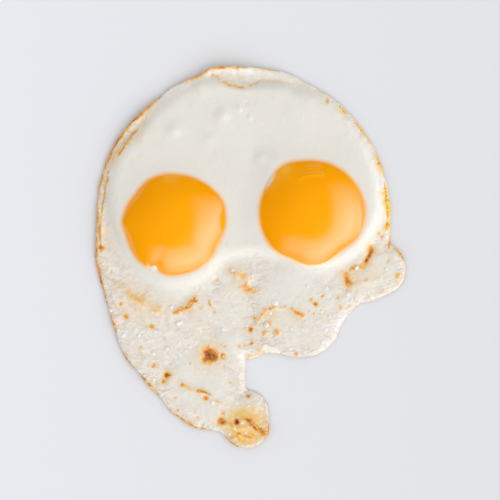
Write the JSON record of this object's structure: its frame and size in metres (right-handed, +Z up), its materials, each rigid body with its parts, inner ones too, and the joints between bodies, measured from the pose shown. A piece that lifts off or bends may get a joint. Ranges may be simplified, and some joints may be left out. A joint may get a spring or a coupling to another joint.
{
  "type": "fried egg",
  "caption": "Sunny-side-up fried egg: two domed yolks seated in one glossy white that is thick and round on one side and runs out into thin browned lobes on the other.",
  "frame": {"origin": "middle of the egg's footprint, on the flat underside that it lies on", "axes": "+Z up out of the yolks, +Y towards the round thick side, -Y towards the ragged tail, +X towards the small side lobe"},
  "size_m": [0.13, 0.1598, 0.016],
  "materials": {
    "egg_white": "moist cooked egg white, cream, glossy, with browned specks and rim",
    "egg_yolk": "moist soft yolk, orange yellow, glossy"
  },
  "bodies": {
    "root": {"egg_white": "egg_white", "yolk_left": "egg_yolk", "yolk_right": "egg_yolk"}
  },
  "joints": []
}
